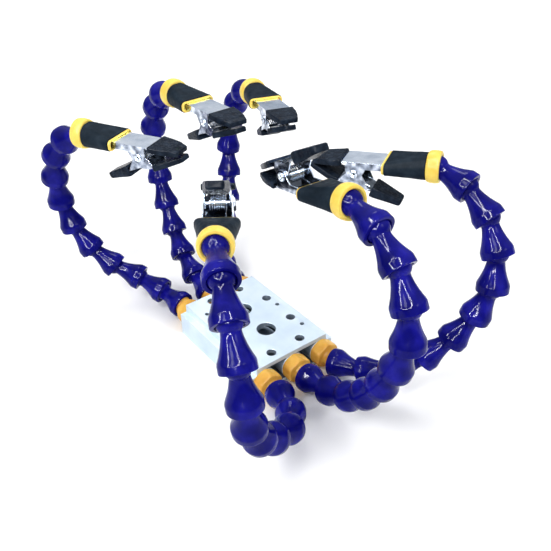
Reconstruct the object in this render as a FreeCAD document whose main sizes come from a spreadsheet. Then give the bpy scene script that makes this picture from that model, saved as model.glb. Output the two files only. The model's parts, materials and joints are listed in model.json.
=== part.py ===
import FreeCAD, Part
import math
import os
import Sketcher

# Helping hands clamp: a hollow aluminium base block with three ports on each end,
# six ball-and-socket gooseneck arms, and a spring clip in a slotted nozzle on each arm.
# Millimetres, +Z up. X runs along the extruded base, the base stands on Z = 0.

V = FreeCAD.Vector
doc = FreeCAD.newDocument("helping_hands")
sheet = doc.addObject("Spreadsheet::Sheet", "Sizes")
os.makedirs("parts", exist_ok=True)
next_row = [1]


class Size:
    """A length or angle that carries its value and the expression that makes it."""

    def __init__(self, value, text):
        self.value = float(value)
        self.text = text

    def __add__(self, other):
        other = as_size(other)
        return Size(self.value + other.value, "(%s + %s)" % (self.text, other.text))

    def __sub__(self, other):
        other = as_size(other)
        return Size(self.value - other.value, "(%s - %s)" % (self.text, other.text))

    def __mul__(self, other):
        other = as_size(other)
        return Size(self.value * other.value, "%s * %s" % (self.text, other.text))

    def __truediv__(self, other):
        other = as_size(other)
        return Size(self.value / other.value, "%s / %s" % (self.text, other.text))

    def __neg__(self):
        return Size(-self.value, "(0 - %s)" % self.text)

    def __rsub__(self, other):
        return as_size(other) - self

    __radd__ = __add__
    __rmul__ = __mul__


def as_size(number):
    """Let a plain number stand where a Size is wanted."""
    if isinstance(number, Size):
        return number
    if number < 0:
        return Size(number, "(0 - %.6f)" % abs(number))
    return Size(number, "%.6f" % number)


def size(name, value):
    """Put one driving dimension in the sheet and return it."""
    row = next_row[0]
    sheet.set("A%d" % row, name)
    sheet.set("B%d" % row, str(value))
    sheet.setAlias("B%d" % row, name)
    next_row[0] = row + 1
    return Size(value, "Sizes." + name)


def bind(thing, prop, length):
    """Give a property its value and tie it to the sheet."""
    length = as_size(length)
    setattr(thing, prop, length.value)
    thing.setExpression(prop, length.text)


# ---- driving dimensions -------------------------------------------------

# base extrusion
base_length = size("base_length", 80)
base_height = size("base_height", 22)
body_half = size("body_half_width", 32)
top_half = size("top_half_width", 27.5)
ledge_height = size("ledge_height", 16.5)
wall = size("wall_thickness", 3)
port_pitch = size("port_pitch", 22.5)
port_height = size("port_height", 11)
port_bore = size("port_bore_radius", 6.6)
boss_radius = size("boss_radius", 8.4)

# holes in the top face
big_hole = size("big_hole_radius", 6.2)
big_hole_x = size("big_hole_offset", 13)
screw_hole = size("screw_hole_radius", 3)
screw_hole_y = size("screw_hole_offset", 20)
end_hole_x = size("end_hole_x", 33)
end_hole_y = size("end_hole_y", 11.25)
pin_hole = size("pin_hole_radius", 1.4)
pin_hole_shift = size("pin_hole_shift", 10)
pin_hole_y = size("pin_hole_y", 21.5)

# ball joints and hose links
pitch = size("link_pitch", 19.8)
ball = size("ball_radius", 6.6)
socket = size("socket_radius", 6.7)
grip_depth = size("socket_grip_depth", 1.6)
rim_depth = size("rim_depth", 2.5)
rim = size("link_rim_radius", 9)
neck = size("neck_radius", 4.9)
bore = size("bore_radius", 3.2)
neck_back = size("neck_back", 4.42)
ball_front = size("ball_front", 5.772)
socket_front = size("socket_front", 5.886)

# threaded connectors
shank_length = size("shank_length", 12)
hex_flat = size("hex_across_flats", 16)
hex_length = size("hex_length", 8)
port_reach = size("port_reach", 16)

# slotted nozzle and its sleeve, measured from the last ball of the arm
collar = size("collar_radius", 9.1)
fan_start = size("fan_start", 4.8)
fan_end = size("fan_end", 27)
nozzle_tip = size("nozzle_tip", 28.4)
fan_near = size("fan_near_width", 14.4)
fan_far = size("fan_far_width", 21.6)
fan_deep = size("fan_near_height", 13)
fan_flat = size("fan_far_height", 5.6)
sleeve_skin = size("sleeve_skin", 0.8)
sleeve_gap = size("sleeve_gap", 0.03)
slot_start = size("slot_start", 18.5)

# spring clip, in the same frame as the nozzle: handle along X, flat top at +Z
metal = size("clip_metal", 0.8)
frame_half = size("clip_frame_half_width", 8)
lever_half = size("clip_lever_half_width", 7)
handle_start = size("handle_start", 19)
handle_top = size("handle_top", 2)
jaw_start = size("jaw_start", 50)
jaw_end = size("jaw_end", 68.5)
upper_tip = size("upper_jaw_tip", 0.4)
pivot_x = size("pivot_x", 45)
pivot_z = size("pivot_z", -5)
pin = size("pin_radius", 1.25)
pin_hole_wall = size("pin_clearance", 0.05)
rivet_head = size("rivet_head_radius", 2.4)
rivet_cap = size("rivet_cap_height", 0.9)
coil = size("coil_radius", 3.9)
wire = size("wire_radius", 0.45)
coil_pitch = size("coil_pitch", 1)
coil_turns = size("coil_turns", 5)
leg_length = size("spring_leg_length", 9.4)
web_z = size("lever_web_height", -11.2)
web_back = size("lever_web_back", 44)
web_front = size("lever_web_front", 50)
lower_tip = size("lower_jaw_tip", -4.6)
lever_angle = size("lever_angle", 24)
lever_length = size("lever_length", 26.5)

# rubber boots
boot_skin = size("boot_skin", 1.3)
boot_half = size("boot_half_width", 9.1)
boot_shoulder = size("boot_shoulder", 9)
boot_gap = size("boot_gap", 0.04)
boot_side_gap = size("boot_side_gap", 0.15)

doc.recompute()


# ---- sketch and feature helpers -----------------------------------------

def new_body(name):
    """Start a named part."""
    body = doc.addObject("PartDesign::Body", name)
    body.Label = name
    return body


def new_sketch(body, name, plane, offset=None):
    """Put a sketch on one of the body's own origin planes, lifted by an offset."""
    sketch = body.newObject("Sketcher::SketchObject", name)
    support = [f for f in body.Origin.OriginFeatures if f.Role == plane][0]
    sketch.AttachmentSupport = [(support, "")]
    sketch.MapMode = "FlatFace"
    if offset is not None:
        offset = as_size(offset)
        sketch.AttachmentOffset = FreeCAD.Placement(V(0, 0, offset.value), FreeCAD.Rotation())
        sketch.setExpression(".AttachmentOffset.Base.z", offset.text)
    return sketch


def pin_point(sketch, geo, end, x, y):
    """Hold one point of a sketch at a sheet-driven place."""
    for kind, value in (("DistanceX", x), ("DistanceY", y)):
        if value is None:
            continue
        value = as_size(value)
        number = sketch.addConstraint(Sketcher.Constraint(kind, -1, 1, geo, end, value.value))
        sketch.setExpression("Constraints[%d]" % number, value.text)


def outline(sketch, points):
    """Draw a closed polygon through sheet-driven points."""
    points = [(as_size(x), as_size(y)) for x, y in points]
    first = sketch.GeometryCount
    count = len(points)
    for i in range(count):
        x1, y1 = points[i]
        x2, y2 = points[(i + 1) % count]
        sketch.addGeometry(Part.LineSegment(V(x1.value, y1.value, 0), V(x2.value, y2.value, 0)), False)
    for i in range(count):
        after = first + (i + 1) % count
        sketch.addConstraint(Sketcher.Constraint("Coincident", first + i, 2, after, 1))
    for i in range(count):
        pin_point(sketch, first + i, 1, points[i][0], points[i][1])


def circle(sketch, x, y, radius):
    """Draw one sheet-driven circle."""
    x, y, radius = as_size(x), as_size(y), as_size(radius)
    geo = sketch.addGeometry(Part.Circle(V(x.value, y.value, 0), V(0, 0, 1), radius.value), False)
    pin_point(sketch, geo, 3, x, y)
    number = sketch.addConstraint(Sketcher.Constraint("Radius", geo, radius.value))
    sketch.setExpression("Constraints[%d]" % number, radius.text)


def rounded_box(sketch, half_x, half_y, radius):
    """Draw a rectangle with round corners, centred on the sketch origin."""
    hx, hy, r = as_size(half_x), as_size(half_y), as_size(radius)
    first = sketch.GeometryCount
    corners = [(1, 1, 0), (-1, 1, 90), (-1, -1, 180), (1, -1, 270)]
    for sx, sy, start in corners:
        centre = V(sx * (hx.value - r.value), sy * (hy.value - r.value), 0)
        round_edge = Part.Circle(centre, V(0, 0, 1), r.value)
        a = math.radians(start)
        sketch.addGeometry(Part.ArcOfCircle(round_edge, a, a + math.pi / 2), False)
    for i in range(4):
        here = sketch.Geometry[first + i].EndPoint
        there = sketch.Geometry[first + (i + 1) % 4].StartPoint
        line = sketch.addGeometry(Part.LineSegment(here, there), False)
        sketch.addConstraint(Sketcher.Constraint("Tangent", first + i, 2, line, 1))
        sketch.addConstraint(Sketcher.Constraint("Tangent", line, 2, first + (i + 1) % 4, 1))
    for i, (sx, sy, start) in enumerate(corners):
        pin_point(sketch, first + i, 3, (hx - r) * sx, (hy - r) * sy)
    number = sketch.addConstraint(Sketcher.Constraint("Radius", first, r.value))
    sketch.setExpression("Constraints[%d]" % number, r.text)


def chain_profile(sketch, steps):
    """Draw a closed profile of straight lines and round arcs.

    Each step is one of
      (x, y)                              a corner,
      (x, y, "bow", radius)               a corner that starts a hollow curve,
      (x, None, centre_x, radius, end)    the "start" or "end" of an arc about the axis.
    """
    spots = []
    for step in steps:
        x = as_size(step[0])
        if len(step) < 5:
            spots.append((x.value, as_size(step[1]).value))
        else:
            centre, radius = as_size(step[2]).value, as_size(step[3]).value
            spots.append((x.value, math.sqrt(radius ** 2 - (x.value - centre) ** 2)))
    count = len(steps)
    for i in range(count):
        here, there = spots[i], spots[(i + 1) % count]
        step, after = steps[i], steps[(i + 1) % count]
        on_arc = len(step) == 5 and len(after) == 5 and step[2] is after[2] and step[4] == "start"
        if on_arc:
            centre, radius = as_size(step[2]), as_size(step[3])
            lo, hi = sorted((math.atan2(here[1], here[0] - centre.value),
                             math.atan2(there[1], there[0] - centre.value)))
            arc = Part.ArcOfCircle(Part.Circle(V(centre.value, 0, 0), V(0, 0, 1), radius.value), lo, hi)
            geo = sketch.addGeometry(arc, False)
            pin_point(sketch, geo, 3, centre, 0)
            number = sketch.addConstraint(Sketcher.Constraint("Radius", geo, radius.value))
            sketch.setExpression("Constraints[%d]" % number, radius.text)
        elif len(step) == 4:
            radius = as_size(step[3])
            start, end = V(here[0], here[1], 0), V(there[0], there[1], 0)
            chord = end - start
            rise = math.sqrt(radius.value ** 2 - chord.Length ** 2 / 4)
            centre = (start + end) / 2 + V(-chord.y, chord.x, 0).normalize() * rise
            middle = centre + ((start + end) / 2 - centre).normalize() * radius.value
            geo = sketch.addGeometry(Part.Arc(start, middle, end), False)
            number = sketch.addConstraint(Sketcher.Constraint("Radius", geo, radius.value))
            sketch.setExpression("Constraints[%d]" % number, radius.text)
        else:
            sketch.addGeometry(Part.LineSegment(V(here[0], here[1], 0), V(there[0], there[1], 0)), False)

    def joint_end(geo, wanted):
        shape = sketch.Geometry[geo]
        near = shape.StartPoint.distanceToPoint(V(wanted[0], wanted[1], 0)) < 1e-4
        return 1 if near else 2

    for i in range(count):
        before = (i - 1) % count
        sketch.addConstraint(Sketcher.Constraint(
            "Coincident", before, joint_end(before, spots[i]), i, joint_end(i, spots[i])))
        step = steps[i]
        pin_point(sketch, i, joint_end(i, spots[i]), step[0], step[1] if len(step) < 5 else None)


def pad(body, sketch, length, name, both=False, backward=False):
    """Pad a sketch."""
    feature = body.newObject("PartDesign::Pad", name)
    feature.Profile = sketch
    bind(feature, "Length", length)
    feature.Midplane = both
    feature.Reversed = backward
    doc.recompute()
    return feature


def pocket(body, sketch, length, name, both=False, backward=False):
    """Pocket a sketch, and stop if it removes nothing."""
    before = body.Shape.Volume
    feature = body.newObject("PartDesign::Pocket", name)
    feature.Profile = sketch
    bind(feature, "Length", length)
    feature.Midplane = both
    feature.Reversed = backward
    doc.recompute()
    if not body.Shape.Volume < before - 1e-6:
        raise RuntimeError(name + " cuts nothing")
    return feature


def revolve(body, sketch, name, axis="H_Axis", kind="Revolution"):
    """Turn a profile a full circle about one of the sketch's axes, to add it or to cut it."""
    feature = body.newObject("PartDesign::" + kind, name)
    feature.Profile = sketch
    feature.ReferenceAxis = (sketch, [axis])
    feature.Angle = 360
    doc.recompute()
    return feature


def loft(body, kind, sketches, name):
    """Loft straight-sided between two sketches."""
    feature = body.newObject("PartDesign::" + kind, name)
    feature.Profile = sketches[0]
    feature.Sections = sketches[1:]
    feature.Ruled = True
    doc.recompute()
    return feature


def mirrored(points):
    """The same outline on the other side of the X axis."""
    return [(x, -as_size(y)) for x, y in points]


def cosine(angle):
    """Cosine of an angle in degrees, as a Size."""
    return Size(math.cos(math.radians(angle.value)), "cos(%s * 1 deg)" % angle.text)


def sine(angle):
    """Sine of an angle in degrees, as a Size."""
    return Size(math.sin(math.radians(angle.value)), "sin(%s * 1 deg)" % angle.text)


# ---- base extrusion ------------------------------------------------------

base = new_body("base_extrusion")

# hat-shaped outside: a wide body with a narrower plate on top
section = new_sketch(base, "base_section", "YZ_Plane")
outline(section, [
    (-body_half, 0), (body_half, 0), (body_half, ledge_height), (top_half, ledge_height),
    (top_half, base_height), (-top_half, base_height), (-top_half, ledge_height),
    (-body_half, ledge_height)])
pad(base, section, base_length, "base_bar", both=True)

# one hollow inside the whole bar, then the three round port tubes put back into it
hollow = new_sketch(base, "base_hollow_section", "YZ_Plane")
outline(hollow, [
    (wall - body_half, wall), (body_half - wall, wall), (body_half - wall, ledge_height - wall),
    (top_half - wall, ledge_height - wall), (top_half - wall, base_height - wall),
    (wall - top_half, base_height - wall), (wall - top_half, ledge_height - wall),
    (wall - body_half, ledge_height - wall)])
pocket(base, hollow, base_length, "base_hollow", both=True)

tubes = new_sketch(base, "port_tube_section", "YZ_Plane")
for row in (-1, 0, 1):
    circle(tubes, port_pitch * row, port_height, boss_radius)
pad(base, tubes, base_length, "port_tubes", both=True)

bores = new_sketch(base, "port_bore_section", "YZ_Plane")
for row in (-1, 0, 1):
    circle(bores, port_pitch * row, port_height, port_bore)
pocket(base, bores, base_length, "port_bores", both=True)

# the outer tubes stay inside the step between body and top plate
step_cut = new_sketch(base, "base_step_section", "YZ_Plane")
for side in (-1, 1):
    outline(step_cut, [
        (top_half * side, ledge_height), ((body_half + 2) * side, ledge_height),
        ((body_half + 2) * side, base_height + 2), (top_half * side, base_height + 2)])
pocket(base, step_cut, base_length, "base_steps", both=True)

# holes drilled in the top face
into_bores = new_sketch(base, "top_hole_plan", "XY_Plane", base_height)
for side in (-1, 1):
    circle(into_bores, big_hole_x * side, 0, big_hole)
    for row in (-1, 1):
        circle(into_bores, big_hole_x * side, screw_hole_y * row, screw_hole)
pocket(base, into_bores, base_height - port_height, "top_holes")

end_holes = new_sketch(base, "end_hole_plan", "XY_Plane", base_height)
for side in (-1, 1):
    for row in (-1, 1):
        circle(end_holes, end_hole_x * side, end_hole_y * row, screw_hole)
pocket(base, end_holes, wall + 1, "end_holes")

pin_holes = new_sketch(base, "pin_hole_plan", "XY_Plane", base_height)
for side in (-1, 1):
    circle(pin_holes, (big_hole_x + pin_hole_shift) * side, pin_hole_y * side, pin_hole)
    circle(pin_holes, (pin_hole_shift - big_hole_x) * side, pin_hole_y * side, pin_hole)
pocket(base, pin_holes, base_height - ledge_height, "pin_holes")


# ---- threaded connector: X = 0 on the end face of the base ---------------

connector = new_body("ball_connector")
turned = new_sketch(connector, "connector_profile", "XY_Plane")
shank = port_bore - 0.05
chain_profile(turned, [
    (-shank_length, bore), (-shank_length, shank - 0.7), (0.7 - shank_length, shank),
    (0, shank), (0, hex_flat / 2 - 0.6), (hex_length, hex_flat / 2 - 0.6),
    (hex_length + 1, neck + 0.2), (port_reach - neck_back, None, port_reach, ball, "start"),
    (port_reach + ball_front, None, port_reach, ball, "end")])
revolve(connector, turned, "connector_turned")

# hexagon with blunted corners: two points on each flat
hexagon = new_sketch(connector, "hexagon_section", "YZ_Plane")
hex_points = []
for flat in range(6):
    across, along = math.radians(60 * flat), math.radians(60 * flat + 90)
    for reach in (-0.2, 0.2):
        hex_points.append((
            hex_flat * (math.cos(across) / 2 + reach * math.cos(along)),
            hex_flat * (math.sin(across) / 2 + reach * math.sin(along))))
outline(hexagon, hex_points)
pad(connector, hexagon, hex_length, "hexagon")

bore_clear = new_sketch(connector, "connector_bore_section", "YZ_Plane")
circle(bore_clear, 0, 0, bore)
pocket(connector, bore_clear, hex_length + 0.5, "connector_bore", backward=True)


# ---- hose link: X = 0 at the ball it grips, its own ball one pitch along --

link = new_body("hose_link")
bell = new_sketch(link, "link_profile", "XY_Plane")
own_ball = pitch + 0
grip_centre = Size(0, "0")
chain_profile(bell, [
    (-rim_depth, rim - 1.5), (-rim_depth, rim - 0.5), (0.5 - rim_depth, rim),
    (1.6, rim), (3.2, rim - 0.5, "bow", 24), (14.4, neck + 0.05),
    (own_ball - neck_back, None, own_ball, ball, "start"),
    (own_ball + ball_front, None, own_ball, ball, "end"),
    (socket_front, None, grip_centre, socket, "start"),
    (-grip_depth, None, grip_centre, socket, "end")])
revolve(link, bell, "link_turned")


# ---- slotted nozzle: X = 0 at the arm's last ball --------------------------

nozzle = new_body("slotted_nozzle")
ring = new_sketch(nozzle, "collar_profile", "XY_Plane")
chain_profile(ring, [
    (-rim_depth, collar - 2), (-rim_depth, collar - 0.7), (0.7 - rim_depth, collar),
    (fan_start - 1.6, collar), (fan_start, collar - 0.9), (fan_start, bore),
    (socket_front, None, grip_centre, socket, "start"),
    (-grip_depth, None, grip_centre, socket, "end")])
revolve(nozzle, ring, "collar")


def fan_sections(body, name, grow):
    """The two ends of the fan, grown evenly by a skin."""
    near = new_sketch(body, name + "_near", "YZ_Plane", fan_start)
    rounded_box(near, fan_near / 2 + grow, fan_deep / 2 + grow, fan_deep / 2 - 0.4 + grow)
    far = new_sketch(body, name + "_far", "YZ_Plane", fan_end)
    rounded_box(far, fan_far / 2 + grow, fan_flat / 2 + grow, 2.2 + as_size(grow))
    return [near, far]


loft(nozzle, "AdditiveLoft", fan_sections(nozzle, "fan", as_size(0)), "fan")

# the front of the socket reaches a little way into the fan
front = new_sketch(nozzle, "socket_front_profile", "XY_Plane")
chain_profile(front, [
    (fan_start - 0.2, bore), (socket_front, None, grip_centre, socket, "start"),
    (fan_start - 0.2, None, grip_centre, socket, "end")])
revolve(nozzle, front, "socket_front", kind="Groove")

lip = new_sketch(nozzle, "lip_section", "YZ_Plane", fan_end)
rounded_box(lip, fan_far / 2 + 0.5, fan_flat / 2 + 0.5, 2.7)
pad(nozzle, lip, nozzle_tip - fan_end, "lip")

throat = new_sketch(nozzle, "throat_section", "YZ_Plane", fan_start - 0.5)
circle(throat, 0, 0, bore)
pocket(nozzle, throat, slot_start - fan_start + 1, "throat", backward=True)

slot = new_sketch(nozzle, "slot_section", "YZ_Plane", nozzle_tip)
outline(slot, [
    (-frame_half - 0.1, -handle_top), (frame_half + 0.1, -handle_top),
    (frame_half + 0.1, handle_top), (-frame_half - 0.1, handle_top)])
pocket(nozzle, slot, nozzle_tip - slot_start, "slot")

mouth = new_sketch(nozzle, "mouth_section", "YZ_Plane", nozzle_tip)
rounded_box(mouth, fan_far / 2 - 1.2, fan_flat / 2 - 0.7, 1.5)
pocket(nozzle, mouth, as_size(3), "mouth")

# heat-shrink sleeve over the fan
sleeve = new_body("nozzle_sleeve")
loft(sleeve, "AdditiveLoft", fan_sections(sleeve, "sleeve_outside", sleeve_gap + sleeve_skin), "sleeve")
loft(sleeve, "SubtractiveLoft", fan_sections(sleeve, "sleeve_inside", sleeve_gap), "sleeve_inside")


# ---- spring clip: half that is pushed into the nozzle ----------------------

frame = new_body("clip_frame")
strip = new_sketch(frame, "frame_strip", "XZ_Plane")
outline(strip, [
    (handle_start, handle_top), (jaw_start, handle_top), (jaw_end, upper_tip),
    (jaw_end - 0.2, upper_tip - metal), (jaw_start - 0.1, handle_top - metal),
    (handle_start, handle_top - metal)])
pad(frame, strip, frame_half * 2, "frame_plate", both=True)

frame_side = new_sketch(frame, "frame_ear_outline", "XZ_Plane")
outline(frame_side, [
    (handle_start, handle_top - 0.1), (handle_start, -handle_top), (pivot_x - 7, -handle_top),
    (pivot_x - 3.6, pivot_z - 2.4), (pivot_x - 1.6, pivot_z - 3.5), (pivot_x + 1.6, pivot_z - 3.5),
    (pivot_x + 3.5, pivot_z - 2.3), (jaw_start - 0.2, pivot_z + 2), (jaw_start - 0.2, handle_top - 0.1)])
pad(frame, frame_side, frame_half * 2, "frame_ears", both=True)

frame_inside = new_sketch(frame, "frame_channel", "XZ_Plane")
outline(frame_inside, [
    (handle_start - 1, handle_top - metal), (jaw_start - 0.1, handle_top - metal),
    (jaw_start + 3, handle_top - metal - 0.75), (jaw_start + 3, pivot_z - 5),
    (handle_start - 1, pivot_z - 5)])
pocket(frame, frame_inside, (frame_half - metal) * 2, "frame_channel_cut", both=True)

frame_pivot = new_sketch(frame, "frame_pivot_hole", "XZ_Plane")
circle(frame_pivot, pivot_x, pivot_z, pin + pin_hole_wall)
pocket(frame, frame_pivot, frame_half * 2 + 1, "frame_pivot_cut", both=True)


def trim(body, name, points, top):
    """Cut an outline in plan, and its mirror image, down through a piece from the given height."""
    plan = new_sketch(body, name, "XY_Plane", as_size(top))
    outline(plan, points)
    outline(plan, mirrored(points))
    pocket(body, plan, as_size(26), name + "_cut")


def jaw_taper(half_width):
    """What is trimmed off one side of a jaw plate, toward its tip."""
    end = jaw_end + 6.5
    return [(end - 18, half_width + 0.2), (end, half_width + 0.2), (end, half_width - 5.2)]


trim(frame, "upper_jaw_taper", jaw_taper(frame_half), 6)

rivet = new_body("clip_rivet")
rivet_profile = new_sketch(rivet, "rivet_profile", "XY_Plane")
outline(rivet_profile, [
    (0, -frame_half - rivet_cap), (rivet_head - 0.7, -frame_half - rivet_cap),
    (rivet_head, 0.5 - frame_half - rivet_cap), (rivet_head, -frame_half), (pin, -frame_half),
    (pin, frame_half), (rivet_head, frame_half), (rivet_head, frame_half + rivet_cap - 0.5),
    (rivet_head - 0.7, frame_half + rivet_cap), (0, frame_half + rivet_cap)])
revolve(rivet, rivet_profile, "rivet_turned", axis="V_Axis")

coil_length = coil_pitch * coil_turns

# torsion spring: coils about Z, with the leg that lies under the handle running off along Y
coils_path = doc.addObject("Part::Helix", "spring_path")
bind(coils_path, "Pitch", coil_pitch)
bind(coils_path, "Height", coil_length)
bind(coils_path, "Radius", coil)
coils_path.Placement.Base = V(0, 0, -coil_length.value / 2)
wire_section = doc.addObject("Part::Circle", "spring_wire_section")
bind(wire_section, "Radius", wire)
wire_section.Placement = FreeCAD.Placement(
    V(coil.value, 0, -coil_length.value / 2), FreeCAD.Rotation(V(1, 0, 0), 90))
coils = doc.addObject("Part::Sweep", "spring_coils")
coils.Sections = [wire_section]
coils.Spine = (coils_path, [])
coils.Solid = True
coils.Frenet = True
handle_leg = doc.addObject("Part::Cylinder", "spring_handle_leg")
bind(handle_leg, "Radius", wire)
bind(handle_leg, "Height", leg_length)
handle_leg.Placement = FreeCAD.Placement(
    V(coil.value, 0, coil_length.value / 2), FreeCAD.Rotation(V(1, 0, 0), -90))
spring = doc.addObject("Part::MultiFuse", "clip_spring")
spring.Shapes = [coils, handle_leg]
doc.recompute()


# ---- spring clip: half that swings, lower jaw and thumb lever --------------

lever = new_body("clip_lever")
lever_x = web_back - lever_length * cosine(lever_angle)
lever_z = web_z - lever_length * sine(lever_angle)
lever_strip = new_sketch(lever, "lever_strip", "XZ_Plane")
outline(lever_strip, [
    (jaw_end - 0.2, lower_tip), (web_front, web_z), (web_back, web_z), (lever_x, lever_z),
    (lever_x + metal * sine(lever_angle), lever_z - metal * cosine(lever_angle)),
    (web_back + 0.25, web_z - metal), (web_front + 0.07, web_z - metal),
    (jaw_end - 0.07, lower_tip - metal)])
pad(lever, lever_strip, lever_half * 2, "lever_plate", both=True)

# the ears run out along the rising jaw
jaw_slope = (lower_tip - web_z) / (jaw_end - 0.2 - web_front)
ear_end = web_front + 4
ear_end_z = web_z + jaw_slope * 4
lever_side = new_sketch(lever, "lever_ear_outline", "XZ_Plane")
outline(lever_side, [
    (ear_end, ear_end_z + 0.5), (pivot_x + 3.6, pivot_z + 1), (pivot_x + 2.2, pivot_z + 2.6),
    (pivot_x + 0.8, pivot_z + 3.2), (pivot_x - 0.8, pivot_z + 3.2), (pivot_x - 2.2, pivot_z + 2.6),
    (pivot_x - 3.6, pivot_z + 1), (web_back - 6.8, web_z - 2.4), (web_back - 6.4, web_z - 3.2),
    (web_back + 0.1, web_z - 0.4), (web_front, web_z - 0.4), (ear_end, ear_end_z - 0.6)])
pad(lever, lever_side, lever_half * 2, "lever_ears", both=True)

lever_inside = new_sketch(lever, "lever_channel", "XZ_Plane")
lever_slope = sine(lever_angle) / cosine(lever_angle)
outline(lever_inside, [
    (web_front + 6, web_z + jaw_slope * 6), (web_front + 6, pivot_z + 5), (web_back - 12, pivot_z + 5),
    (web_back - 12, web_z - lever_slope * 12), (web_back, web_z), (web_front, web_z)])
pocket(lever, lever_inside, (lever_half - metal) * 2, "lever_channel_cut", both=True)

lever_pivot = new_sketch(lever, "lever_pivot_hole", "XZ_Plane")
circle(lever_pivot, pivot_x, pivot_z, pin + pin_hole_wall)
pocket(lever, lever_pivot, lever_half * 2 + 1, "lever_pivot_cut", both=True)

trim(lever, "lower_jaw_taper", jaw_taper(lever_half), 6)
trim(lever, "thumb_taper", [
    (web_back - 7, lever_half + 0.2), (web_back - 28, lever_half + 0.2),
    (web_back - 28, lever_half - 4.2), (web_back - 8.4, lever_half - 1)], 0)

# the spring's other leg lies on the lever and swings with it
spring_leg = new_body("lever_spring_leg")
free_leg = new_sketch(spring_leg, "free_leg_section", "YZ_Plane")
circle(free_leg, 0, 0, wire)
pad(spring_leg, free_leg, leg_length, "free_leg")


# ---- rubber boots ----------------------------------------------------------

def jaw_boot(name, plate_half, start, end, tip_half):
    """A pocket of rubber over a jaw: X from the jaw's root, plate face at Z = 0, metal below."""
    boot = new_body(name)
    plan = new_sketch(boot, name + "_plan", "XY_Plane", boot_skin)
    outline(plan, [
        (start, boot_half - 0.8), (start + 1.2, boot_half), (boot_shoulder, boot_half),
        (end - 1, tip_half), (end, tip_half - 1.2), (end, 1.2 - tip_half),
        (end - 1, -tip_half), (boot_shoulder, -boot_half), (start + 1.2, -boot_half),
        (start, 0.8 - boot_half)])
    pad(boot, plan, boot_skin * 2 + metal, name + "_pad", backward=True)
    room = new_sketch(boot, name + "_room", "XY_Plane", boot_gap)
    wide = plate_half + boot_side_gap
    narrow = plate_half - 3
    outline(room, [
        (start - 1, wide), (8, wide), (19.6, narrow), (19.6, -narrow), (8, -wide),
        (start - 1, -wide)])
    pocket(boot, room, metal + boot_gap * 2, name + "_room_cut")
    return boot


upper_boot = jaw_boot("upper_boot", frame_half, as_size(2.4), as_size(20.5), as_size(5.8))
lower_boot = jaw_boot("lower_boot", lever_half, as_size(4.8), as_size(24), as_size(3.4))

# thick tapering boot on the thumb lever: X along the lever, inner face at Z = 0
thumb_boot = new_body("thumb_boot")
thumb_end = lever_length + 1.6
thumb_side = new_sketch(thumb_boot, "thumb_boot_side", "XZ_Plane")
outline(thumb_side, [
    (9.4, 2), (10.2, 2.6), (thumb_end - 0.6, 1.5), (thumb_end, 0.8), (thumb_end, -1.8),
    (thumb_end - 0.8, -2.3), (10.2, -4.4), (9.4, -3.8)])
pad(thumb_boot, thumb_side, lever_half * 2 - 0.2, "thumb_boot_pad", both=True)
trim(thumb_boot, "thumb_boot_taper", [
    (as_size(10), lever_half + 0.1), (thumb_end, lever_half + 0.1),
    (thumb_end, lever_half - 3.6), (thumb_end - 1.2, lever_half - 2.5)], 6)
thumb_room = new_sketch(thumb_boot, "thumb_boot_room", "XY_Plane", boot_gap)
wide = lever_half - 0.9
narrow = lever_half - 3.4
outline(thumb_room, [
    (8, wide), (9.2, wide), (lever_length + 0.1, narrow), (lever_length + 0.1, -narrow),
    (9.2, -wide), (8, -wide)])
pocket(thumb_boot, thumb_room, metal + boot_gap * 2, "thumb_boot_room_cut")


# ---- arms ------------------------------------------------------------------

class Frame:
    """Where a ball is, which way the arm runs on from it, and its side and top."""

    def __init__(self, point, ahead, side, top):
        self.point, self.ahead, self.side, self.top = point, ahead, side, top

    def bend(self, up, sideways):
        """Turn about the ball: up toward the top, sideways toward the back of the base."""
        axis = self.ahead.cross(self.top) * up + self.ahead.cross(self.side) * sideways
        turn = FreeCAD.Rotation(axis, axis.Length) if axis.Length > 1e-9 else FreeCAD.Rotation()
        self.ahead = turn.multVec(self.ahead)
        self.side = turn.multVec(self.side)
        self.top = turn.multVec(self.top)

    def advance(self, distance):
        """Go on to the next ball."""
        self.point = self.point + self.ahead * distance

    def placement(self):
        """Placement with X ahead and Z on the arm's own top."""
        turn = FreeCAD.Rotation(self.ahead, V(), self.top, "XZY")
        return FreeCAD.Placement(self.point, turn)

    def level(self, up):
        """Placement with X ahead and Y level, Z up or (for up = -1) down."""
        across = V(0, 0, up).cross(self.ahead)
        turn = FreeCAD.Rotation(self.ahead, across, V(), "XYZ")
        return FreeCAD.Placement(self.point, turn)


def at(x, z, pitch_angle=0):
    """Local placement in the clip's side view, tipped about Y."""
    turn = FreeCAD.Rotation(V(0, 1, 0), pitch_angle)
    return FreeCAD.Placement(V(as_size(x).value, 0, as_size(z).value), turn)


def copy_of(source, name, placement):
    """A placed copy of one of the parts above."""
    copy = doc.addObject("App::Link", name)
    copy.LinkedObject = source
    copy.LinkPlacement = placement
    return copy


def group(name, copies):
    """A named sub-part of one or more placed copies."""
    node = doc.addObject("Part::Compound", name)
    node.Label = name
    node.Links = copies
    return node


nodes = [base]

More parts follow.
